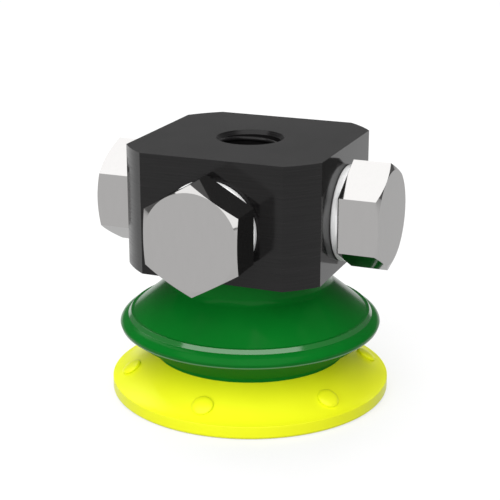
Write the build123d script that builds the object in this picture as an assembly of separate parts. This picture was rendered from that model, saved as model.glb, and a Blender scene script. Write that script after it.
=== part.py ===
from build123d import *

import os
from math import atan, cos, degrees, radians, sqrt, tan

# Bellows suction cup on a square port block with four side plugs.
# Millimetres. +Z runs up the cup's axis, and the origin is the centre of the plane that the lip seals on.
# The block's flats face +X, -X, +Y and -Y. Every piece is drawn in its rest position, and the heights
# stack upwards from the sealing plane: lip, bellows, neck, block.

# Yellow lip
LIP_H = 3.0              # seam with the bellows, above the sealing plane
LIP_R = 10.63
LIP_EDGE_H = 1.0         # top of the upright edge
LIP_BEVEL = 0.23         # bevel under the edge
LIP_WALL = 0.8           # thickness under the seam
LIP_DISH = 0.21          # how far the top surface dishes below a straight cone
LAND_W = 0.7             # width of the flat ring that seals
UNDER_IN = 0.7           # start of the sloping under surface, inside the seam
NUB_COUNT = 6
NUB_IN = 1.48            # circle of the nubs, inside the lip's edge
NUB_R = 0.7
NUB_H = 0.3
NUB_ROOT = 0.3           # how far a nub reaches into the lip

# Green bellows, one and a half folds
SEAM_R = 7.32            # outer radius of the seam
RIM_R = 9.95             # widest point of the rim
RIM_UP = 2.38            # widest point above the seam
RIM_EDGE_IN = 0.09       # sharp lower edge of the rim, from the widest point
RIM_EDGE_DOWN = 0.28
BAND_IN = 0.13           # top of the rim's upright band, from the widest point
BAND_UP = 0.38
SHOULDER_IN = 0.33       # shoulder of the rim, from the widest point
SHOULDER_UP = 0.55
CREASE_IN = 1.05         # where the upper cone meets the rim, from the widest point
CREASE_UP = 0.93
CONE_RISE = 2.285        # neck's foot above the crease
CUP_WALL = 1.1           # wall of both cones
NECK_R = 6.1
NECK_H = 1.955           # upright part of the neck
NECK_FILLET = 0.8

# Spigot that the neck snaps over
SPIGOT_R = 3.2           # groove for the neck's inner ring
FLANGE_OUT = 1.1         # flange beyond the groove
FLANGE_T = 0.8
NECK_FIT = 0.05          # clearance between the spigot and the neck

# Port block: round bar with four milled flats
BLOCK_AF = 15.0          # across the flats
BLOCK_D = 18.5           # bar diameter, left on the four corners
BLOCK_H = 9.0
SIDE_PORT_UP = 4.0       # axis of the side ports above the underside

# M5 ports
PORT_R = 2.285           # wall radius, its thread left off
MOUTH_R = 2.525          # countersink
MOUTH_DEPTH = 0.3
TOP_PORT_DEPTH = 3.3
GALLERY_R = 1.5          # drilled passages that join the ports and the cup

# Hexagon-head plugs and their sealing washers
HEX_AF = 7.0
HEAD_H = 3.0
HEAD_CHAMFER = 22.0      # in degrees
SHANK_PLAY = 0.045       # radial clearance of the shank in its port
SHANK_L = 4.0
SHANK_END_GAP = 0.35     # clearance between the shank's end and the port's floor
WASHER_R = 3.55
WASHER_PLAY = 0.31       # radial clearance between the washer and the shank
WASHER_T = 0.55

PAST = 1.0               # how far a cut runs past the face that it opens


def spin(outline):
    """Solid of revolution about Z from a closed outline of points (radius, height)."""
    return revolve(Plane.XZ * make_face(Polyline(*outline, close=True)), Axis.Z, 360)


def around(piece, count):
    """Copies of a piece turned about Z."""
    return [Rot(0, 0, 360 * k / count) * piece for k in range(count)]


# Outer lines of the bellows, as points (radius, height)
rim = (RIM_R, LIP_H + RIM_UP)
rim_edge = (rim[0] - RIM_EDGE_IN, rim[1] - RIM_EDGE_DOWN)
shoulder = (rim[0] - SHOULDER_IN, rim[1] + SHOULDER_UP)
band = (rim[0] - BAND_IN, rim[1] + BAND_UP)
crease = (rim[0] - CREASE_IN, rim[1] + CREASE_UP)
seam = (SEAM_R, LIP_H)

# The inner cones follow the outer ones at the wall's thickness
upper_slope = CONE_RISE / (crease[0] - NECK_R)
lower_slope = (rim_edge[1] - seam[1]) / (rim_edge[0] - seam[0])
upper_drop = CUP_WALL * sqrt(1 + upper_slope ** 2)
lower_lift = CUP_WALL * sqrt(1 + lower_slope ** 2)
upper_at_axis = crease[1] + upper_slope * crease[0]
lower_at_axis = seam[1] - lower_slope * seam[0]


def upper_inner(r):
    """Height of the upper cone's inner surface at a radius."""
    return upper_at_axis - upper_slope * r - upper_drop


fold_r = (upper_at_axis - upper_drop - lower_at_axis - lower_lift) / (upper_slope + lower_slope)
fold = (fold_r, upper_inner(fold_r))
mouth = ((LIP_H - lower_at_axis - lower_lift) / lower_slope, LIP_H)

# Neck and spigot
neck_foot = (NECK_R, upper_at_axis - upper_slope * NECK_R)
block_low = neck_foot[1] + NECK_H
groove_r = SPIGOT_R + NECK_FIT
flange_r = SPIGOT_R + FLANGE_OUT
pocket_r = flange_r + NECK_FIT
flange_low = upper_inner(pocket_r)
flange_top = flange_low + FLANGE_T

with BuildSketch(Plane.XZ) as bellows_outline:
    with BuildLine():
        Polyline((groove_r, block_low), (NECK_R, block_low), neck_foot, crease, shoulder, band, rim,
                 rim_edge, seam, mouth, fold, (pocket_r, flange_low),
                 (pocket_r, flange_top + NECK_FIT), (groove_r, flange_top + NECK_FIT), close=True)
    make_face()
    fillet(bellows_outline.vertices().sort_by_distance((neck_foot[0], neck_foot[1], 0))[0], NECK_FILLET)
bellows_cup = revolve(bellows_outline.sketch, Axis.Z, 360)

# Yellow lip: the filled outline with its nubs, less the hollow under it
lip_edge = (LIP_R, LIP_EDGE_H)
land_out = (LIP_R - LIP_BEVEL, 0)
land_in = (LIP_R - LIP_BEVEL - LAND_W, 0)
dish_mid = ((SEAM_R + LIP_R) / 2, (LIP_H + LIP_EDGE_H) / 2 - LIP_DISH)
sealing_lip = spin([seam, (0, LIP_H), (0, 0), land_out, (LIP_R, LIP_BEVEL), lip_edge, dish_mid])

nub_r = LIP_R - NUB_IN
nub_slope = (dish_mid[1] - LIP_EDGE_H) / (LIP_R - dish_mid[0])
nub_z = LIP_EDGE_H + nub_slope * NUB_IN
nub_lean = degrees(atan(nub_slope))
nub_peg = Pos(0, 0, (NUB_H - NUB_ROOT) / 2) * Cylinder(NUB_R, NUB_H + NUB_ROOT)
for nub in around(Pos(0, -nub_r, nub_z) * Rot(nub_lean, 0, 0) * nub_peg, NUB_COUNT):
    sealing_lip += nub

under = (SEAM_R - UNDER_IN, LIP_H - LIP_WALL)
sealing_lip -= spin([land_in, under, (mouth[0], under[1]), (mouth[0], LIP_H + PAST), (0, LIP_H + PAST),
                     (0, -PAST), (land_in[0], -PAST)])

# Port block with its spigot
block_top = block_low + BLOCK_H
flat = BLOCK_AF / 2
port_axis_z = block_low + SIDE_PORT_UP
side_port_depth = SHANK_L - WASHER_T + SHANK_END_GAP


def port(depth):
    """Blind port that runs down from height zero: countersunk mouth, wall and flat floor."""
    return spin([(0, PAST), (MOUTH_R, PAST), (MOUTH_R, 0), (PORT_R, -MOUTH_DEPTH), (PORT_R, -depth),
                 (0, -depth)])


square_bar = Cylinder(BLOCK_D / 2, BLOCK_H) & Box(BLOCK_AF, BLOCK_AF, BLOCK_H)
spigot = spin([(0, block_low), (SPIGOT_R, block_low), (SPIGOT_R, flange_top), (flange_r, flange_top),
               (flange_r, flange_low), (0, flange_low)])
port_block = Pos(0, 0, block_low + BLOCK_H / 2) * square_bar + spigot
port_block -= Pos(0, 0, block_top) * port(TOP_PORT_DEPTH)
to_front = Pos(0, -flat, port_axis_z) * Rot(90, 0, 0)
for side_port in around(to_front * port(side_port_depth), 4):
    port_block -= side_port
gallery_top = block_top - TOP_PORT_DEPTH
port_block -= spin([(0, flange_low - PAST), (GALLERY_R, flange_low - PAST), (GALLERY_R, gallery_top),
                    (0, gallery_top)])
gallery_reach = flat - side_port_depth
for gallery in around(Pos(0, 0, port_axis_z) * Rot(90, 0, 0) * Cylinder(GALLERY_R, 2 * gallery_reach), 4)[:2]:
    port_block -= gallery

# Plug and washer, drawn standing on height zero and then turned to face out of the front flat
head_low = WASHER_T
head_top = WASHER_T + HEAD_H
hex_r = HEX_AF / 2 / cos(radians(30))
shank_r = PORT_R - SHANK_PLAY
shank_low = head_low - SHANK_L
chamfer_r = hex_r + PAST
chamfer_low = head_top - (chamfer_r - HEX_AF / 2) * tan(radians(HEAD_CHAMFER))
hexagon = extrude(Pos(0, 0, head_low) * RegularPolygon(hex_r, 6, rotation=90), HEAD_H)
chamfer = spin([(0, head_low - PAST), (chamfer_r, head_low - PAST), (chamfer_r, chamfer_low),
                (HEX_AF / 2, head_top), (0, head_top)])
shank = spin([(0, head_low), (shank_r, head_low), (shank_r, shank_low), (0, shank_low)])
plug = (hexagon & chamfer) + shank
bore_r = shank_r + WASHER_PLAY
washer = spin([(bore_r, 0), (WASHER_R, 0), (WASHER_R, WASHER_T), (bore_r, WASHER_T)])

nodes = {"port_block": port_block, "bellows_cup": bellows_cup, "sealing_lip": sealing_lip}
for turn, side in enumerate(["front", "right", "back", "left"]):
    nodes["plug_" + side] = Rot(0, 0, 90 * turn) * to_front * plug
    nodes["washer_" + side] = Rot(0, 0, 90 * turn) * to_front * washer

os.makedirs("parts", exist_ok=True)
for name, shape in nodes.items():
    export_step(shape, "parts/" + name + ".step")
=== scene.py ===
import math

import bmesh
import bpy
from bpy.props import FloatProperty, FloatVectorProperty, IntProperty, PointerProperty
from mathutils import Matrix, Vector


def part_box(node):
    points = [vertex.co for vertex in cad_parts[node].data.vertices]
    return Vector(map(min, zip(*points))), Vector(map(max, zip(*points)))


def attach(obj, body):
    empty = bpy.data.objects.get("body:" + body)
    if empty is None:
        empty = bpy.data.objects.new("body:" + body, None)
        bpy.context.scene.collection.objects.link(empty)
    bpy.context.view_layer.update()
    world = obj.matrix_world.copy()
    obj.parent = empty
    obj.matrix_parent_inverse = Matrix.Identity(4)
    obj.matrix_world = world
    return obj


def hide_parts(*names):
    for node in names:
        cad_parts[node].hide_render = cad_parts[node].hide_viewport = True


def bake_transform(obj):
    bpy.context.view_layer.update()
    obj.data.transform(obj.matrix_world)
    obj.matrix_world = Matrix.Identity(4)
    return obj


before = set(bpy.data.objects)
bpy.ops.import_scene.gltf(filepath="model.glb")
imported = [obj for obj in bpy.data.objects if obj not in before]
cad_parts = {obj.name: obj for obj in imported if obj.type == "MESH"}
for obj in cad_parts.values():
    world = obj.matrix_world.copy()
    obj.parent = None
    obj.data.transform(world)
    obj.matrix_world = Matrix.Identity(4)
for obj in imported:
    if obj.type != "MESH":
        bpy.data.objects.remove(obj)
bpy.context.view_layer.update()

bl_info = {
    "name": "Bellows Suction Cup",
    "version": (1, 0, 0),
    "blender": (4, 5, 0),
    "location": "3D View > Sidebar > Suction Cup",
    "description": "Dresses the framed bellows suction cup with fine mouldings, threads and finishes",
    "category": "Object",
}

MM = 0.001

# Places and sizes that come from the frame, in metres
LIP_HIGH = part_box("sealing_lip")[1]
CUP_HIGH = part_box("bellows_cup")[1]
BLOCK_LOW, BLOCK_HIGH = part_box("port_block")
WASHER_LOW, WASHER_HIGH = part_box("washer_front")
PLUG_LOW, PLUG_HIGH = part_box("plug_front")
SEAM_Z = LIP_HIGH.z
BLOCK_Z = CUP_HIGH.z
TOP_Z = BLOCK_HIGH.z
FLAT = BLOCK_HIGH.x
PORT_Z = (WASHER_LOW.z + WASHER_HIGH.z) / 2
WASHER_R = (WASHER_HIGH.x - WASHER_LOW.x) / 2
WASHER_T = WASHER_HIGH.y - WASHER_LOW.y
# A plug's end below its flat, its face above that flat, and half its width across flats
SHANK_IN = PLUG_HIGH.y + FLAT
HEAD_TOP = -PLUG_LOW.y - FLAT
HEAD_R = (PLUG_HIGH.x - PLUG_LOW.x) / 2
SIDES = ["front", "right", "back", "left"]

# Step beside the crease, as points (radius, height above the seam) in millimetres, and how far its finish
# reaches past it
STEP = [(9.12, 3.290), (9.33, 3.000)]
STEP_MARGIN = 0.03
# Rounded shoulder below the step, in the same measures, and how many parts each stretch of it is cut into
SHOULDER = [
    (9.43, 2.965), (9.55, 2.900), (9.68, 2.815), (9.79, 2.710), (9.87, 2.600), (9.925, 2.500), (9.95, 2.400)]
SHOULDER_PARTS = 3
# Corner just over the rim's sharp lower edge, measured outwards and upwards from that edge
RIM_CORNER = (0.028 * MM, 0.1 * MM)
# Polished line along the rim's lower edge: inner radius and half height in millimetres
RIM_LINE = (9.80, 0.14)
# Part of a ridge's height that a plug's thread keeps, so that it stays inside the shank's radius
PLUG_RIDGE_SHARE = 0.98

# Fineness of the meshes
CUP_SEGMENTS = 224
WASHER_SEGMENTS = 128
SHANK_SEGMENTS = 64
HEAD_STEPS = 144
LIP_STEPS = 24
ARC_STEP = math.radians(6)
# In metres: a point this near the axis lies on it, and points this near each other are one
ON_AXIS = 1e-7
SAME_SPOT = 1e-8

# Material indices on the bellows: its matt underside and its polished edges
UNDER = 1
EDGES = 2
# Rubber finishes: the setting that holds the colour, the factor that darkens it in places, its roughness
# and its refractive index
RUBBERS = {
    "bellows_green": ("bellows", 0.90, 0.17, 1.13),
    "bellows_under": ("bellows", 0.90, 0.55, 1.1),
    "bellows_edges": ("bellows", 0.95, 0.12, 1.85),
    "lip_yellow": ("lip", 0.97, 0.34, 1.3),
}
BUMP_DEPTH = 0.01 * MM

# The floor lies just under the lip, so that the two surfaces stay apart
FLOOR_Z = -0.02 * MM
FLOOR_HALF = 1.5
# Places of the two soft boxes, and the point that both face
FRONT_BOX = (0.0516, -0.2925, 0.278)
TOP_BOX = (-0.108, 0.161, 0.320)
BOX_AIM = Vector((0, 0, 0.01))
SENSOR_WIDTH = 36.0
CLIP_START = 0.005


# Settings that a user would change

def millimetres(name, description, default):
    """Setting that holds a length, with its default given in millimetres."""
    return FloatProperty(
        name=name, description=description, default=default * MM, precision=6, unit="LENGTH")


def shade(name, description, default):
    """Setting that holds a colour."""
    return FloatVectorProperty(
        name=name, description=description, default=default, subtype="COLOR", min=0, max=1)


class CupSizes(bpy.types.PropertyGroup):
    """Sizes of the green bellows and the yellow lip."""

    seam_radius: millimetres("Seam radius", "Outer radius where the bellows meets the lip", 7.32)
    seam_band: millimetres("Seam band", "Height of the small band above the seam", 0.28)
    rim_edge_radius: millimetres("Rim edge radius", "Radius of the rim's sharp lower edge", 9.86)
    rim_edge_rise: millimetres(
        "Rim edge rise", "Height of the rim's sharp lower edge above the seam", 2.10)
    crease_radius: millimetres(
        "Crease radius", "Radius of the crease between the upper cone and the rim", 8.90)
    crease_rise: millimetres("Crease rise", "Height of the crease above the seam", 3.29)
    neck_radius: millimetres("Neck radius", "Outer radius of the neck under the block", 6.1)
    neck_rise: millimetres("Neck height", "Height of the upright part of the neck", 1.955)
    neck_fillet: millimetres("Neck fillet", "Fillet between the neck and the upper cone", 0.8)
    groove_radius: millimetres(
        "Groove radius", "Radius of the neck's inner ring, which sits in the spigot's groove", 3.25)
    groove_depth: millimetres("Groove depth", "Height of the neck's inner ring under the block", 1.1)
    wall: millimetres("Wall", "Wall thickness of both cones", 1.1)
    seam_flare: millimetres("Seam flare", "How far the small band above the seam leans out", 0.11)
    edge_round: millimetres("Edge rounding", "Rounding of the moulded edges", 0.04)
    fold_round: millimetres("Fold rounding", "Rounding of the inside corner of the fold", 0.35)
    lip_edge: millimetres("Lip edge height", "Height of the lip's upright edge", 1.0)
    lip_round: millimetres("Lip rounding", "Rounding under the lip's edge", 0.23)
    lip_dish: FloatProperty(
        name="Lip dish", description="Power of the curve of the lip's top surface; 1 is a straight cone",
        default=1.4, min=1.0, max=2.0)
    lip_wall: millimetres("Lip wall", "Thickness of the lip under the seam", 0.8)
    land_width: millimetres("Sealing ring width", "Width of the flat ring that seals", 0.7)
    under_round: millimetres("Lip root rounding", "Rounding of the inside corner under the lip", 0.6)
    land_round: millimetres("Sealing ring rounding", "Rounding of the sealing ring's inner edge", 0.1)
    nub_count: IntProperty(name="Nubs", description="Number of nubs on the lip", default=6, min=1, max=24)
    nub_circle: millimetres("Nub circle", "Radius of the circle that the nubs stand on", 9.15)
    nub_radius: millimetres("Nub radius", "Radius of a nub at its foot", 0.80)
    nub_height: millimetres("Nub height", "Height of a nub above its widest ring", 0.24)
    nub_lift: millimetres("Nub lift", "Height of a nub's widest ring above the lip", 0.13)
    nub_fullness: FloatProperty(
        name="Nub fullness",
        description="Power of a nub's profile; 2 is a round dome, more is a flatter button",
        default=2.3, min=1.5, max=6.0)


class ThreadSizes(bpy.types.PropertyGroup):
    """Sizes of the M5 threads."""

    pitch: millimetres("Pitch", "Rise of the thread in one turn", 0.8)
    ridge: millimetres("Ridge", "Half height of a thread ridge", 0.26)
    plug_tip: millimetres("Plug thread radius", "Outer radius of the thread on a plug", 2.24)
    port_tip: millimetres("Port thread radius", "Inner radius of the thread in the top port", 2.08)
    port_depth: millimetres("Port depth", "Depth of the top port", 3.3)
    port_mouth: millimetres("Port mouth", "Depth of the top port's countersink", 0.3)
    head_chamfer: FloatProperty(
        name="Head chamfer", description="Angle of the chamfer round a plug's face",
        default=math.radians(22), unit="ROTATION")
    shank_tip: millimetres("Plug point", "Chamfer of the plug's end", 0.3)
    washer_bore: millimetres("Washer bore", "Inner radius of a washer", 2.55)
    washer_round: millimetres("Washer rounding", "Rounding of the washer's rim", 0.14)


class Finishes(bpy.types.PropertyGroup):
    """Colours of the finishes."""

    block: shade("Block", "Black anodised aluminium", (0.0100, 0.0095, 0.0098))
    bellows: shade("Bellows", "Green moulded rubber", (0.003, 0.165, 0.016))
    lip: shade("Lip", "Yellow moulded rubber", (0.92, 0.96, 0.014))
    plug: shade("Plugs", "Bright plated steel", (0.368, 0.362, 0.358))
    washer: shade("Washers", "White plastic", (0.95, 0.95, 0.95))


class StageSettings(bpy.types.PropertyGroup):
    """Where the camera and the lamps stand, and how bright the light is."""

    azimuth: FloatProperty(
        name="Camera azimuth", description="Turn of the camera from the front towards the right",
        default=math.radians(21.964), precision=5, unit="ROTATION")
    elevation: FloatProperty(
        name="Camera elevation", description="Height of the camera over the horizon",
        default=math.radians(17.711), precision=5, unit="ROTATION")
    distance: millimetres("Camera distance", "From the camera to the point that it looks at", 104.67)
    aim_height: millimetres("Aim height", "Height of the point that the camera looks at", 10.779)
    aim_side: millimetres("Aim side", "That point's offset to the camera's right", -0.017)
    lens: FloatProperty(
        name="Lens", description="Focal length in millimetres on a 36 mm sensor", default=99.29)
    front_power: FloatProperty(
        name="Front box power", description="Power of the soft box in front", default=3.45, unit="POWER")
    front_width: FloatProperty(
        name="Front box width", description="Width of the soft box in front", default=0.80, unit="LENGTH")
    front_height: FloatProperty(
        name="Front box height", description="Height of the soft box in front", default=0.70, unit="LENGTH")
    top_power: FloatProperty(
        name="Top box power", description="Power of the soft box overhead", default=0.92, unit="POWER")
    top_width: FloatProperty(
        name="Top box width", description="Width of the soft box overhead", default=0.36, unit="LENGTH")
    top_depth: FloatProperty(
        name="Top box depth", description="Depth of the soft box overhead", default=0.34, unit="LENGTH")
    sky: FloatProperty(name="Sky", description="Level of the even light all round", default=0.22)
    floor_tone: FloatProperty(
        name="Floor tone", description="How much light the floor returns", default=0.33)
    floor_glow: FloatProperty(
        name="Floor glow", description="Level that camera and mirror rays add to the floor", default=0.65)


# Nodes and meshes

def add(tree, kind, inputs=None, **settings):
    """New node in a tree with its settings and inputs; a socket as input value is linked."""
    node = tree.nodes.new(kind)
    for name, value in settings.items():
        setattr(node, name, value)
    for name, value in (inputs or {}).items():
        if isinstance(value, bpy.types.NodeSocket):
            tree.links.new(value, node.inputs[name])
        else:
            node.inputs[name].default_value = value
    return node


def maths(tree, operation, *values):
    """Math node's result."""
    return add(tree, "ShaderNodeMath", dict(enumerate(values)), operation=operation).outputs[0]


def material(name):
    """Empty material with its tree and a surface shader linked to its output."""
    made = bpy.data.materials.new(name + "_finish")
    made.use_nodes = True
    made.node_tree.nodes.clear()
    tree = made.node_tree
    shader = add(tree, "ShaderNodeBsdfPrincipled")
    add(tree, "ShaderNodeOutputMaterial", {"Surface": shader.outputs["BSDF"]})
    return made, tree, shader


def vary(tree, fac, spread, low):
    """Level that starts at low and rises by a spread with fac."""
    return maths(tree, "MULTIPLY_ADD", fac, spread, low)


def ramp(tree, value, stops):
    """Colour ramp of grey stops (position, level)."""
    node = add(tree, "ShaderNodeValToRGB", {"Fac": value})
    elements = node.color_ramp.elements
    while len(elements) < len(stops):
        elements.new(0.5)
    for element, (position, level) in zip(elements, stops):
        element.position = position
        element.color = (level, level, level, 1)
    return node.outputs["Color"]


def noise(tree, scale, detail=3.0, stretch=(1, 1, 1)):
    """Noise on the piece's own coordinates, stretched along its axes."""
    place = add(tree, "ShaderNodeTexCoord").outputs["Object"]
    mapped = add(tree, "ShaderNodeMapping", {"Vector": place, "Scale": stretch}).outputs["Vector"]
    made = add(tree, "ShaderNodeTexNoise", {"Vector": mapped, "Scale": scale, "Detail": detail})
    return made.outputs["Fac"]


def tint(tree, colour, fac, dark):
    """The colour, darkened by a factor where fac is low."""
    low = (colour[0] * dark, colour[1] * dark, colour[2] * dark, 1)
    mix = add(tree, "ShaderNodeMix", {"Factor": fac}, data_type="RGBA")
    mix.inputs["A"].default_value = low
    mix.inputs["B"].default_value = (*colour, 1)
    return mix.outputs["Result"]


def bump(tree, shader, height, strength):
    """Bump on a shader from a height."""
    node = add(tree, "ShaderNodeBump", {"Height": height, "Strength": strength, "Distance": BUMP_DEPTH})
    tree.links.new(node.outputs["Normal"], shader.inputs["Normal"])


def block_finish():
    """Black anodising, duller on the faced ends than on the flats, with streaks on the turned corners."""
    made, tree, shader = material("anodised_black")
    colour = bpy.context.scene.cup_finishes.block
    normal = add(tree, "ShaderNodeNewGeometry").outputs["Normal"]
    parts = add(tree, "ShaderNodeSeparateXYZ", {"Vector": normal}).outputs
    ends = maths(tree, "ABSOLUTE", parts["Z"])
    corners = maths(tree, "ABSOLUTE", maths(tree, "MULTIPLY", parts["X"], parts["Y"]))
    corners = add(tree, "ShaderNodeMapRange", {
        "Value": corners, "From Min": 0.1, "From Max": 0.3}).outputs["Result"]
    streaks = noise(tree, scale=1.0, detail=4.0, stretch=(260, 260, 9000))
    turned = ramp(tree, streaks, [(0.35, 0.0), (0.65, 1.0)])
    tree.links.new(tint(tree, colour, turned, dark=0.6), shader.inputs["Base Color"])
    level = add(tree, "ShaderNodeMapRange", {
        "Value": ends, "To Min": 0.09, "To Max": 0.22}).outputs["Result"]
    soft = vary(tree, noise(tree, scale=900.0), spread=0.06, low=level)
    rough = vary(tree, maths(tree, "MULTIPLY", corners, turned), spread=0.15, low=soft)
    tree.links.new(rough, shader.inputs["Roughness"])
    shader.inputs["IOR"].default_value = 1.30
    deep = maths(tree, "MULTIPLY", streaks, vary(tree, corners, spread=0.70, low=0.30))
    bump(tree, shader, deep, strength=0.5)
    return made


def rubber_finish(name):
    """Moulded rubber: an even colour with a faint cloud and a fine grain."""
    setting, dark, roughness, index = RUBBERS[name]
    made, tree, shader = material(name)
    colour = getattr(bpy.context.scene.cup_finishes, setting)
    cloud = noise(tree, scale=420.0, detail=2.0)
    grain = noise(tree, scale=5200.0, detail=2.0)
    fac = ramp(tree, cloud, [(0.25, 0.0), (0.75, 1.0)])
    tree.links.new(tint(tree, colour, fac, dark), shader.inputs["Base Color"])
    tree.links.new(vary(tree, cloud, spread=0.06, low=roughness - 0.03), shader.inputs["Roughness"])
    shader.inputs["IOR"].default_value = index
    bump(tree, shader, grain, strength=0.05)
    return made


def plug_finish():
    """Bright plated steel with a faint drawn grain."""
    made, tree, shader = material("plug_metal")
    colour = bpy.context.scene.cup_finishes.plug
    grain = noise(tree, scale=1.0, detail=3.0, stretch=(3000, 3000, 700))
    fac = ramp(tree, grain, [(0.3, 0.0), (0.7, 1.0)])
    tree.links.new(tint(tree, colour, fac, dark=0.985), shader.inputs["Base Color"])
    shader.inputs["Metallic"].default_value = 1.0
    shader.inputs["Specular Tint"].default_value = (0.7, 0.7, 0.7, 1)
    tree.links.new(vary(tree, grain, spread=0.02, low=0.05), shader.inputs["Roughness"])
    bump(tree, shader, grain, strength=0.004)
    return made


def washer_finish():
    """White plastic with a smooth face."""
    made, tree, shader = material("washer_white")
    colour = bpy.context.scene.cup_finishes.washer
    cloud = noise(tree, scale=1500.0, detail=2.0)
    tree.links.new(tint(tree, colour, cloud, dark=0.95), shader.inputs["Base Color"])
    tree.links.new(vary(tree, cloud, spread=0.10, low=0.22), shader.inputs["Roughness"])
    bump(tree, shader, cloud, strength=0.05)
    return made


def finish(name):
    """The finish of that name, made on first use."""
    found = bpy.data.materials.get(name + "_finish")
    if found:
        return found
    if name in RUBBERS:
        return rubber_finish(name)
    if name == "anodised_black":
        return block_finish()
    if name == "plug_metal":
        return plug_finish()
    return washer_finish()


def rounded(corners):
    """Outline from corners (radius, height, rounding), its round corners as arcs."""
    points = []
    count = len(corners)
    for i, (r, z, size) in enumerate(corners):
        here = Vector((r, z))
        if not size:
            points.append(here)
            continue
        back = Vector(corners[i - 1][:2]) - here
        ahead = Vector(corners[(i + 1) % count][:2]) - here
        half = back.angle(ahead) / 2
        centre = here + (back.normalized() + ahead.normalized()).normalized() * (size / math.sin(half))
        start = here + back.normalized() * (size / math.tan(half)) - centre
        sweep = math.pi - 2 * half
        side = -1 if back.cross(ahead) > 0 else 1
        steps = max(2, round(sweep / ARC_STEP))
        for k in range(steps + 1):
            turn = Matrix.Rotation(side * sweep * k / steps, 2)
            points.append(centre + turn @ start)
    return points


def flowing(points, parts):
    """Points of a smooth line through the given ones, with each stretch cut into parts."""
    line = [Vector(p) for p in points]
    line = [2 * line[0] - line[1], *line, 2 * line[-1] - line[-2]]
    made = []
    for before, here, there, after in zip(line, line[1:], line[2:], line[3:]):
        for k in range(parts):
            s = k / parts
            made.append(0.5 * (2 * here + (there - before) * s
                               + (2 * before - 5 * here + 4 * there - after) * s ** 2
                               + (3 * here - before - 3 * there + after) * s ** 3))
    return made + [line[-2]]


def revolve(bm, outline, segments, place=Matrix.Identity(4)):
    """Turns an outline of points (radius, height) about Z into a closed shell in bm."""
    rows = []
    for k in range(segments):
        turn = place @ Matrix.Rotation(2 * math.pi * k / segments, 4, "Z")
        rows.append([bm.verts.new(turn @ Vector((p[0], 0, p[1]))) for p in outline])
    for k, row in enumerate(rows):
        after = rows[(k + 1) % segments]
        for i in range(len(row)):
            j = (i + 1) % len(row)
            if outline[i][0] < ON_AXIS and outline[j][0] < ON_AXIS:
                continue
            bm.faces.new((row[i], after[i], after[j], row[j]))
    bmesh.ops.remove_doubles(bm, verts=[v for row in rows for v in row], dist=SAME_SPOT)


def hexagon_head(bm, slope, place):
    """Hexagon head with a corner up, its face chamfered by a cone of that slope."""
    rings = [[], [], []]
    for k in range(HEAD_STEPS):
        turn = 2 * math.pi * k / HEAD_STEPS
        off = (turn + math.pi / 6) % (math.pi / 3) - math.pi / 6
        out = HEAD_R / math.cos(off)
        line = [(HEAD_R, HEAD_TOP), (out, HEAD_TOP - (out - HEAD_R) * slope), (out, WASHER_T)]
        for ring, (r, z) in zip(rings, line):
            ring.append(bm.verts.new(place @ Vector((r * math.cos(turn), r * math.sin(turn), z))))
    for upper, lower in zip(rings, rings[1:]):
        for k in range(HEAD_STEPS):
            j = (k + 1) % HEAD_STEPS
            bm.faces.new((upper[k], lower[k], lower[j], upper[j]))
    bm.faces.new(rings[0])
    bm.faces.new(rings[2])
    bmesh.ops.remove_doubles(bm, verts=bm.verts, dist=SAME_SPOT)


def piece(name, bm, slot, sharp=28.0):
    """Object from a bmesh, with outward normals, smooth shading up to an angle and its finish."""
    bmesh.ops.recalc_face_normals(bm, faces=bm.faces)
    mesh = bpy.data.meshes.new(name)
    bm.to_mesh(mesh)
    bm.free()
    mesh.shade_smooth()
    mesh.set_sharp_from_angle(angle=math.radians(sharp))
    mesh.materials.append(finish(slot))
    made = bpy.data.objects.new(name, mesh)
    bpy.context.scene.collection.objects.link(made)
    return made


def grown(name, tree, values, slot, place=Matrix.Identity(4)):
    """Object from a geometry tree: sets its inputs, bakes the result and takes the modifier off."""
    made = bpy.data.objects.new(name, bpy.data.meshes.new(name + "_seed"))
    bpy.context.scene.collection.objects.link(made)
    modifier = made.modifiers.new("Grow", "NODES")
    modifier.node_group = tree
    values = {**values, "Finish": finish(slot)}
    for item in tree.interface.items_tree:
        if item.item_type == "SOCKET" and item.in_out == "INPUT" and item.name in values:
            modifier[item.identifier] = values[item.name]
    bpy.context.view_layer.update()
    evaluated = made.evaluated_get(bpy.context.evaluated_depsgraph_get())
    baked = bpy.data.meshes.new_from_object(evaluated)
    made.modifiers.clear()
    seed = made.data
    made.data = baked
    bpy.data.meshes.remove(seed)
    baked.name = name
    baked.transform(place)
    if not len(baked.polygons):
        raise RuntimeError(name + " came out empty")
    return made


def geometry_tree(name, inputs):
    """Geometry tree with named inputs (name, kind), its group input and its group output."""
    tree = bpy.data.node_groups.new(name, "GeometryNodeTree")
    tree.interface.new_socket("Geometry", in_out="OUTPUT", socket_type="NodeSocketGeometry")
    for label, kind in inputs:
        tree.interface.new_socket(label, in_out="INPUT", socket_type="NodeSocket" + kind)
    return tree, add(tree, "NodeGroupInput").outputs


def close_tree(tree, geometry, given):
    """Ends a tree with real geometry and its finish."""
    real = add(tree, "GeometryNodeRealizeInstances", {"Geometry": geometry})
    dressed = add(tree, "GeometryNodeSetMaterial", {
        "Geometry": real.outputs[0], "Material": given["Finish"]})
    add(tree, "NodeGroupOutput", {"Geometry": dressed.outputs[0]})
    return tree


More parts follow.
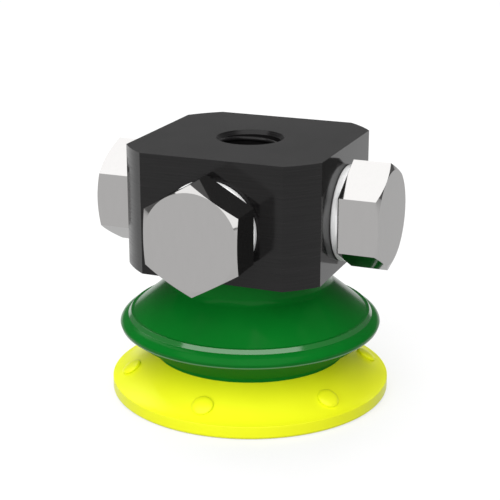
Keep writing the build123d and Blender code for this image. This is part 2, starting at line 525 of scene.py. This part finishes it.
def thread_tree():
    """Screw thread: a right-hand ridge of diamond section round the Z axis, from height zero up."""
    name = "Screw thread"
    if name in bpy.data.node_groups:
        return bpy.data.node_groups[name]
    tree, given = geometry_tree(name, [("Radius", "Float"), ("Pitch", "Float"), ("Length", "Float"),
                                       ("Ridge", "Float"), ("Finish", "Material")])
    spiral = add(tree, "GeometryNodeCurveSpiral", {
        "Resolution": 48, "Rotations": maths(tree, "DIVIDE", given["Length"], given["Pitch"]),
        "Start Radius": given["Radius"], "End Radius": given["Radius"], "Height": given["Length"],
        "Reverse": True})
    upright = add(tree, "GeometryNodeSetCurveNormal", {"Curve": spiral.outputs[0]}, mode="Z_UP")
    section = add(tree, "GeometryNodeCurvePrimitiveCircle", {"Resolution": 4, "Radius": given["Ridge"]})
    ridge = add(tree, "GeometryNodeCurveToMesh", {
        "Curve": upright.outputs[0], "Profile Curve": section.outputs[0], "Fill Caps": True})
    return close_tree(tree, ridge.outputs[0], given)


def nub_tree():
    """Low domes round the Z axis, leaning outwards with the surface that they stand on."""
    tree, given = geometry_tree("Lip nubs", [("Count", "Int"), ("Circle", "Float"), ("Height", "Float"),
                                             ("Lean", "Float"), ("Nub radius", "Float"),
                                             ("Nub height", "Float"), ("Fullness", "Float"),
                                             ("Finish", "Material")])
    ball = add(tree, "GeometryNodeMeshUVSphere", {"Segments": 48, "Rings": 32, "Radius": 1.0})
    spot = add(tree, "GeometryNodeInputPosition").outputs[0]
    parts = add(tree, "ShaderNodeSeparateXYZ", {"Vector": spot}).outputs
    across = maths(tree, "POWER", maths(tree, "ABSOLUTE", parts["X"]), 2.0)
    along = maths(tree, "POWER", maths(tree, "ABSOLUTE", parts["Y"]), 2.0)
    out = maths(tree, "SQRT", maths(tree, "ADD", across, along))
    left = maths(tree, "SUBTRACT", 1.0, maths(tree, "POWER", out, given["Fullness"]))
    left = maths(tree, "MAXIMUM", left, 0.0)
    rise = maths(tree, "POWER", left, maths(tree, "DIVIDE", 1.0, given["Fullness"]))
    rise = maths(tree, "MULTIPLY", rise, maths(tree, "SIGN", parts["Z"]))
    full = add(tree, "ShaderNodeCombineXYZ", {"X": parts["X"], "Y": parts["Y"], "Z": rise})
    dome = add(tree, "GeometryNodeSetPosition", {
        "Geometry": ball.outputs["Mesh"], "Position": full.outputs[0]})
    smooth = add(tree, "GeometryNodeSetShadeSmooth", {"Geometry": dome.outputs[0]})
    place = add(tree, "ShaderNodeCombineXYZ", {
        "Y": maths(tree, "MULTIPLY", given["Circle"], -1.0), "Z": given["Height"]})
    size = add(tree, "ShaderNodeCombineXYZ", {
        "X": given["Nub radius"], "Y": given["Nub radius"], "Z": given["Nub height"]})
    lean = add(tree, "ShaderNodeCombineXYZ", {"X": given["Lean"]})
    nub = add(tree, "GeometryNodeTransform", {
        "Geometry": smooth.outputs[0], "Translation": place.outputs[0], "Rotation": lean.outputs[0],
        "Scale": size.outputs[0]})
    points = add(tree, "GeometryNodePoints", {"Count": given["Count"]})
    index = add(tree, "GeometryNodeInputIndex").outputs[0]
    step = maths(tree, "DIVIDE", 2 * math.pi, given["Count"])
    turn = add(tree, "ShaderNodeCombineXYZ", {"Z": maths(tree, "MULTIPLY", index, step)})
    copies = add(tree, "GeometryNodeInstanceOnPoints", {
        "Points": points.outputs[0], "Instance": nub.outputs[0], "Rotation": turn.outputs[0]})
    return close_tree(tree, copies.outputs[0], given)


def side_place(turn):
    """Places a piece drawn standing on height zero so that it stands out of one of the block's flats."""
    stand = Matrix.Translation((0, -FLAT, PORT_Z)) @ Matrix.Rotation(math.pi / 2, 4, "X")
    return Matrix.Rotation(turn * math.pi / 2, 4, "Z") @ stand


def cup_lines(size):
    """Inner lines of the bellows, at the wall's thickness from the outer cones."""
    crease = Vector((size.crease_radius, SEAM_Z + size.crease_rise))
    neck_z = BLOCK_Z - size.neck_rise
    upper = (neck_z - crease.y) / (crease.x - size.neck_radius)
    lower = size.rim_edge_rise / (size.rim_edge_radius - size.seam_radius)
    upper_at_axis = crease.y + upper * crease.x - size.wall * math.hypot(1, upper)
    lower_at_axis = SEAM_Z - lower * size.seam_radius + size.wall * math.hypot(1, lower)
    fold_r = (upper_at_axis - lower_at_axis) / (upper + lower)
    fold = (fold_r, upper_at_axis - upper * fold_r)
    mouth_r = (SEAM_Z - lower_at_axis) / lower
    pocket_r = (upper_at_axis - BLOCK_LOW.z) / upper
    return neck_z, fold, mouth_r, pocket_r


# Operators

class CUP_OT_bellows(bpy.types.Operator):
    """Makes the green bellows: neck, upper cone, stepped crease, rounded rim and lower cone"""

    bl_idname = "suction_cup.bellows"
    bl_label = "Bellows"

    def execute(self, context):
        size = context.scene.cup_sizes
        neck_z, fold, mouth_r, pocket_r = cup_lines(size)
        crease_z = SEAM_Z + size.crease_rise
        step = [(r * MM, SEAM_Z + z * MM, size.edge_round) for r, z in STEP]
        shoulder = [(r * MM, SEAM_Z + z * MM, 0) for r, z in flowing(SHOULDER, SHOULDER_PARTS)]
        groove_r = size.groove_radius
        groove_z = BLOCK_Z - size.groove_depth
        edge_z = SEAM_Z + size.rim_edge_rise
        outline = rounded([
            (groove_r, BLOCK_Z, 0),
            (size.neck_radius, BLOCK_Z, 0),
            (size.neck_radius, neck_z, size.neck_fillet),
            (size.crease_radius, crease_z, size.edge_round),
            *step,
            *shoulder,
            (size.rim_edge_radius + RIM_CORNER[0], edge_z + RIM_CORNER[1], 0),
            (size.rim_edge_radius, edge_z, size.edge_round),
            (size.seam_radius + size.seam_flare, SEAM_Z + size.seam_band, size.edge_round),
            (size.seam_radius, SEAM_Z, 0),
            (mouth_r, SEAM_Z, 0),
            (*fold, size.fold_round),
            (pocket_r, BLOCK_LOW.z, 0),
            (pocket_r, groove_z, 0),
            (groove_r, groove_z, 0),
        ])
        bm = bmesh.new()
        revolve(bm, outline, CUP_SEGMENTS)
        # The step is told by its radius and by a height that leaves the lower cone out
        for face in bm.faces:
            spot = face.calc_center_median()
            out = math.hypot(spot.x, spot.y) / MM
            on_edge = out > RIM_LINE[0] and abs(spot.z - edge_z) < RIM_LINE[1] * MM
            beside_crease = STEP[0][0] - STEP_MARGIN < out < STEP[1][0] + STEP_MARGIN
            on_step = beside_crease and spot.z > edge_z + size.wall / 2
            if on_edge or on_step:
                face.material_index = EDGES
            elif spot.z < edge_z:
                face.material_index = UNDER
        made = piece("bellows_moulding", bm, "bellows_green")
        made.data.materials.append(finish("bellows_under"))
        made.data.materials.append(finish("bellows_edges"))
        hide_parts("bellows_cup")
        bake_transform(made)
        return {"FINISHED"}


class CUP_OT_lip(bpy.types.Operator):
    """Makes the yellow lip with its dished top and its sealing ring"""

    bl_idname = "suction_cup.lip"
    bl_label = "Lip"

    def execute(self, context):
        size = context.scene.cup_sizes
        mouth_r = cup_lines(size)[2]
        edge_r = LIP_HIGH.x
        span = edge_r - size.seam_radius
        rise = SEAM_Z - size.lip_edge
        land_out = edge_r - size.lip_round
        land_in = land_out - size.land_width
        under_r = size.seam_radius - size.lip_wall
        top = []
        for k in range(1, LIP_STEPS):
            share = k / LIP_STEPS
            top.append((edge_r - span * share, size.lip_edge + rise * share ** size.lip_dish, 0))
        outline = rounded([
            (size.seam_radius, SEAM_Z, 0),
            (mouth_r, SEAM_Z, 0),
            (mouth_r, SEAM_Z - size.lip_wall, size.land_round),
            (under_r, SEAM_Z - size.lip_wall, size.under_round),
            (land_in, 0, size.land_round),
            (land_out + size.lip_round, 0, size.lip_round),
            (edge_r, size.lip_edge, size.edge_round),
            *top,
        ])
        bm = bmesh.new()
        revolve(bm, outline, CUP_SEGMENTS)
        made = piece("lip_moulding", bm, "lip_yellow")
        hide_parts("sealing_lip")
        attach(made, "lip")
        return {"FINISHED"}


class CUP_OT_nubs(bpy.types.Operator):
    """Sets the ring of nubs on the lip"""

    bl_idname = "suction_cup.nubs"
    bl_label = "Nubs"

    def execute(self, context):
        size = context.scene.cup_sizes
        span = LIP_HIGH.x - size.seam_radius
        rise = SEAM_Z - size.lip_edge
        share = (LIP_HIGH.x - size.nub_circle) / span
        lean = math.atan(rise / span * size.lip_dish * share ** (size.lip_dish - 1))
        height = size.lip_edge + rise * share ** size.lip_dish
        made = grown("lip_nubs", nub_tree(), {
            "Count": size.nub_count, "Circle": size.nub_circle + size.nub_lift * math.sin(lean),
            "Height": height + size.nub_lift * math.cos(lean), "Lean": lean,
            "Nub radius": size.nub_radius, "Nub height": size.nub_height, "Fullness": size.nub_fullness},
            "lip_yellow")
        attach(made, "lip")
        return {"FINISHED"}


class CUP_OT_block(bpy.types.Operator):
    """Finishes the port block and sets the ridge of a thread in its top port"""

    bl_idname = "suction_cup.block"
    bl_label = "Port block"

    def execute(self, context):
        thread = context.scene.cup_threads
        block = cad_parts["port_block"]
        block.data.materials.clear()
        block.data.materials.append(finish("anodised_black"))
        length = thread.port_depth - thread.port_mouth
        place = Matrix.Translation((0, 0, TOP_Z - thread.port_depth))
        made = grown("port_thread", thread_tree(), {
            "Radius": thread.port_tip + thread.ridge, "Pitch": thread.pitch, "Length": length,
            "Ridge": thread.ridge}, "anodised_black", place)
        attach(made, "block")
        return {"FINISHED"}


class CUP_OT_plugs(bpy.types.Operator):
    """Makes the four hexagon-head plugs with their threads"""

    bl_idname = "suction_cup.plugs"
    bl_label = "Plugs"

    def execute(self, context):
        thread = context.scene.cup_threads
        core_r = thread.plug_tip - thread.ridge
        # The shank's core ends inside the head, one washer's thickness above its underside
        core_end = 2 * WASHER_T
        outline = [
            (0, -SHANK_IN),
            (core_r - thread.shank_tip, -SHANK_IN),
            (core_r, thread.shank_tip - SHANK_IN),
            (core_r, core_end),
            (0, core_end),
        ]
        for turn, side in enumerate(SIDES):
            place = side_place(turn)
            bm = bmesh.new()
            hexagon_head(bm, math.tan(thread.head_chamfer), place)
            revolve(bm, outline, SHANK_SEGMENTS, place)
            head = piece("plug_" + side + "_head", bm, "plug_metal", sharp=12.0)
            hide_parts("plug_" + side)
            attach(head, "plug_" + side)
            length = SHANK_IN - thread.shank_tip
            ridge = grown("plug_" + side + "_thread", thread_tree(), {
                "Radius": core_r, "Pitch": thread.pitch, "Length": length,
                "Ridge": thread.ridge * PLUG_RIDGE_SHARE},
                "plug_metal", place @ Matrix.Translation((0, 0, -length)))
            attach(ridge, "plug_" + side)
        return {"FINISHED"}


class CUP_OT_washers(bpy.types.Operator):
    """Makes the four sealing washers with rounded rims"""

    bl_idname = "suction_cup.washers"
    bl_label = "Washers"

    def execute(self, context):
        size = context.scene.cup_threads.washer_round
        bore = context.scene.cup_threads.washer_bore
        outline = rounded([
            (bore, 0, 0), (WASHER_R, 0, size), (WASHER_R, WASHER_T, size), (bore, WASHER_T, 0)])
        for turn, side in enumerate(SIDES):
            bm = bmesh.new()
            revolve(bm, outline, WASHER_SEGMENTS, side_place(turn))
            made = piece("washer_" + side + "_ring", bm, "washer_white")
            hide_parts("washer_" + side)
            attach(made, "washer_" + side)
        return {"FINISHED"}


def seen(tree):
    """1 for camera, glossy and transmission rays, else 0."""
    path = add(tree, "ShaderNodeLightPath").outputs
    both = maths(tree, "MAXIMUM", path["Is Camera Ray"], path["Is Glossy Ray"])
    return maths(tree, "MAXIMUM", both, path["Is Transmission Ray"])


def lamp(name, place, width, height, power):
    """Soft box that faces the cup."""
    data = bpy.data.lights.new(name, "AREA")
    data.shape = "RECTANGLE"
    data.size = width
    data.size_y = height
    data.energy = power
    made = bpy.data.objects.new(name, data)
    made.location = place
    made.rotation_euler = (BOX_AIM - Vector(place)).to_track_quat("-Z", "Y").to_euler()
    bpy.context.scene.collection.objects.link(made)


class CUP_OT_stage(bpy.types.Operator):
    """Sets the floor, the soft light and the camera"""

    bl_idname = "suction_cup.stage"
    bl_label = "Stage"

    def execute(self, context):
        scene = context.scene
        stage = scene.cup_stage
        scene.view_settings.view_transform = "Standard"
        bm = bmesh.new()
        bmesh.ops.create_grid(bm, x_segments=1, y_segments=1, size=FLOOR_HALF,
                              matrix=Matrix.Translation((0, 0, FLOOR_Z)))
        mesh = bpy.data.meshes.new("floor")
        bm.to_mesh(mesh)
        bm.free()
        floor = bpy.data.objects.new("floor", mesh)
        scene.collection.objects.link(floor)
        paint = bpy.data.materials.new("floor_paint")
        paint.use_nodes = True
        tree = paint.node_tree
        tree.nodes.clear()
        matt = add(tree, "ShaderNodeBsdfDiffuse", {"Color": (*[stage.floor_tone] * 3, 1)})
        glow_level = maths(tree, "MULTIPLY", seen(tree), stage.floor_glow)
        glow = add(tree, "ShaderNodeEmission", {"Strength": glow_level})
        both = add(tree, "ShaderNodeAddShader", {0: matt.outputs[0], 1: glow.outputs[0]})
        add(tree, "ShaderNodeOutputMaterial", {"Surface": both.outputs[0]})
        mesh.materials.append(paint)

        world = bpy.data.worlds.new("studio")
        scene.world = world
        world.use_nodes = True
        tree = world.node_tree
        tree.nodes.clear()
        sky = add(tree, "ShaderNodeBackground", {"Color": (1, 1, 1, 1), "Strength": stage.sky})
        add(tree, "ShaderNodeOutputWorld", {"Surface": sky.outputs[0]})

        lamp("front_box", FRONT_BOX, stage.front_width, stage.front_height, stage.front_power)
        lamp("top_box", TOP_BOX, stage.top_width, stage.top_depth, stage.top_power)

        camera_data = bpy.data.cameras.new("camera")
        camera_data.lens = stage.lens
        camera_data.sensor_width = SENSOR_WIDTH
        camera_data.clip_start = CLIP_START
        camera = bpy.data.objects.new("camera", camera_data)
        level = math.cos(stage.elevation)
        side, front = math.sin(stage.azimuth), math.cos(stage.azimuth)
        back = Vector((side * level, -front * level, math.sin(stage.elevation)))
        right = Vector((front, side, 0))
        target = right * stage.aim_side + Vector((0, 0, stage.aim_height))
        camera.location = target + back * stage.distance
        camera.rotation_euler = (-back).to_track_quat("-Z", "Y").to_euler()
        scene.collection.objects.link(camera)
        scene.camera = camera
        return {"FINISHED"}


class CUP_PT_sidebar(bpy.types.Panel):
    """Sizes, colours and steps of the suction cup"""

    bl_idname = "CUP_PT_sidebar"
    bl_label = "Suction Cup"
    bl_space_type = "VIEW_3D"
    bl_region_type = "UI"
    bl_category = "Suction Cup"

    def draw(self, context):
        layout = self.layout
        for name in GROUPS:
            group = getattr(context.scene, name)
            box = layout.box()
            for setting in group.bl_rna.properties.keys():
                if setting not in ("rna_type", "name"):
                    box.prop(group, setting)
        for step in STEPS:
            layout.operator(step.bl_idname)


STEPS = [
    CUP_OT_bellows, CUP_OT_lip, CUP_OT_nubs, CUP_OT_block, CUP_OT_plugs, CUP_OT_washers, CUP_OT_stage]
GROUPS = {
    "cup_sizes": CupSizes,
    "cup_threads": ThreadSizes,
    "cup_finishes": Finishes,
    "cup_stage": StageSettings,
}


def register():
    for group in GROUPS.values():
        bpy.utils.register_class(group)
    for name, group in GROUPS.items():
        setattr(bpy.types.Scene, name, PointerProperty(type=group))
    for step in STEPS:
        bpy.utils.register_class(step)
    bpy.utils.register_class(CUP_PT_sidebar)


def unregister():
    bpy.utils.unregister_class(CUP_PT_sidebar)
    for step in reversed(STEPS):
        bpy.utils.unregister_class(step)
    for name, group in GROUPS.items():
        delattr(bpy.types.Scene, name)
        bpy.utils.unregister_class(group)


def main():
    """Makes every piece in order."""
    register()
    bpy.ops.suction_cup.bellows()
    bpy.ops.suction_cup.lip()
    bpy.ops.suction_cup.nubs()
    bpy.ops.suction_cup.block()
    bpy.ops.suction_cup.plugs()
    bpy.ops.suction_cup.washers()
    bpy.ops.suction_cup.stage()


if __name__ == "__main__":
    main()
